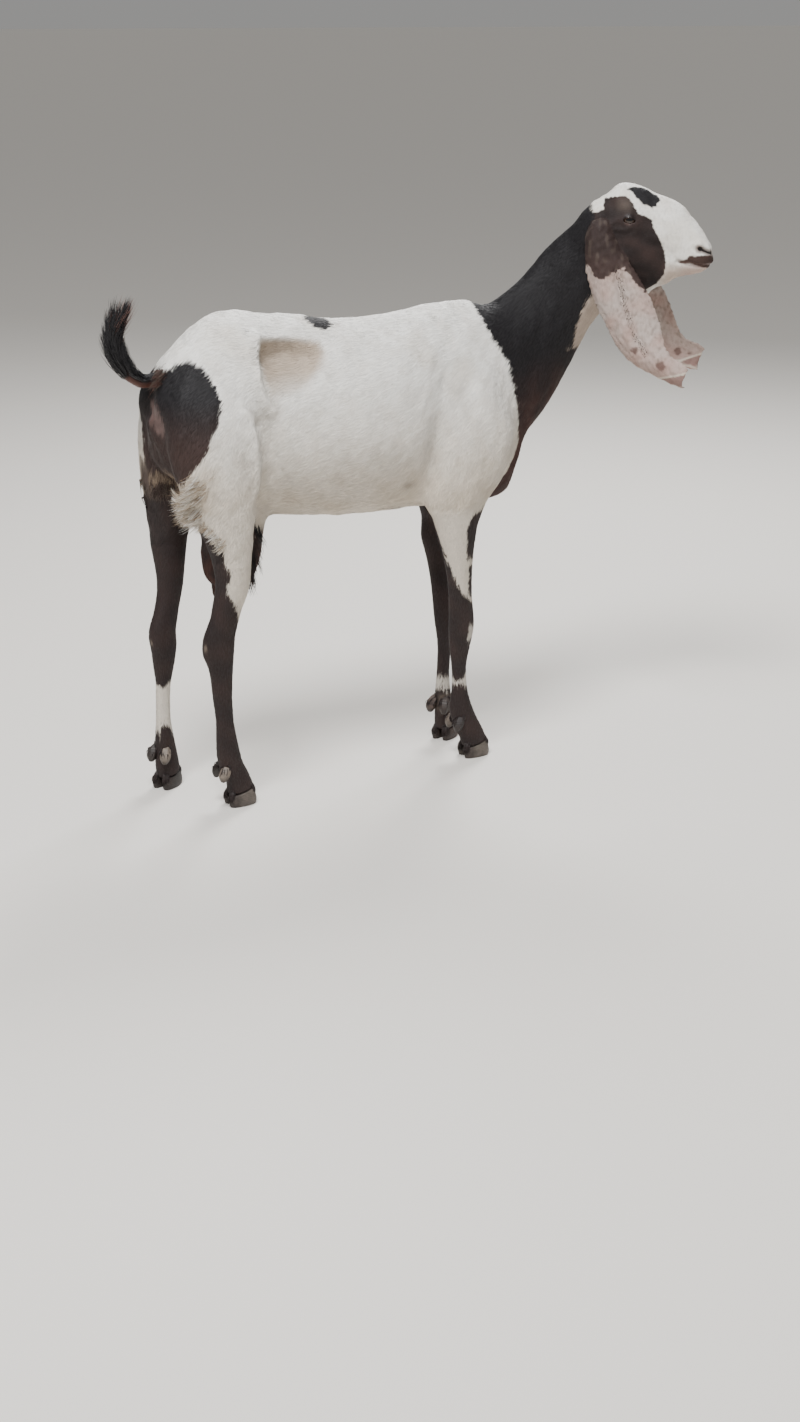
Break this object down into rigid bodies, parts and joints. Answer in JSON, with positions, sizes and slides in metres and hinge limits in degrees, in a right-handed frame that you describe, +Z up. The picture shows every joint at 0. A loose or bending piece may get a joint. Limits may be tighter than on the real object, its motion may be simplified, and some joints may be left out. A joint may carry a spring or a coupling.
{
  "type": "beetal goat",
  "caption": "Life-size still model of a standing polled goat doe with long hanging ears, raised tail, and its head turned to its right.",
  "frame": {"origin": "middle of the bounding box, at floor level", "axes": "+Z up, +X the way the chest faces, +Y to the goat's left"},
  "size_m": [1.106, 0.3764, 1.0201],
  "materials": {
    "coat_white": "short white coat",
    "coat_dark": "short black-brown coat",
    "ear_skin": "thinly haired skin",
    "udder_skin": "bare dark skin",
    "horn": "worn horn of the claws",
    "eye": "wet and glossy"
  },
  "bodies": {
    "root": {"dewclaw_fore_left_inner": "horn", "dewclaw_fore_left_outer": "horn", "dewclaw_fore_right_inner": "horn", "dewclaw_fore_right_outer": "horn", "dewclaw_hind_left_inner": "horn", "dewclaw_hind_left_outer": "horn", "dewclaw_hind_right_inner": "horn", "dewclaw_hind_right_outer": "horn", "ear_left": "ear_skin", "ear_right": "ear_skin", "eye_left": "eye", "eye_right": "eye", "head": "coat_white", "hoof_fore_left_inner": "horn", "hoof_fore_left_outer": "horn", "hoof_fore_right_inner": "horn", "hoof_fore_right_outer": "horn", "hoof_hind_left_inner": "horn", "hoof_hind_left_outer": "horn", "hoof_hind_right_inner": "horn", "hoof_hind_right_outer": "horn", "leg_fore_left": "coat_dark", "leg_fore_right": "coat_dark", "leg_hind_left": "coat_dark", "leg_hind_right": "coat_dark", "neck": "coat_dark", "tail": "coat_dark", "thigh_left": "coat_white", "thigh_right": "coat_white", "torso": "coat_white", "udder": "udder_skin"}
  },
  "joints": []
}
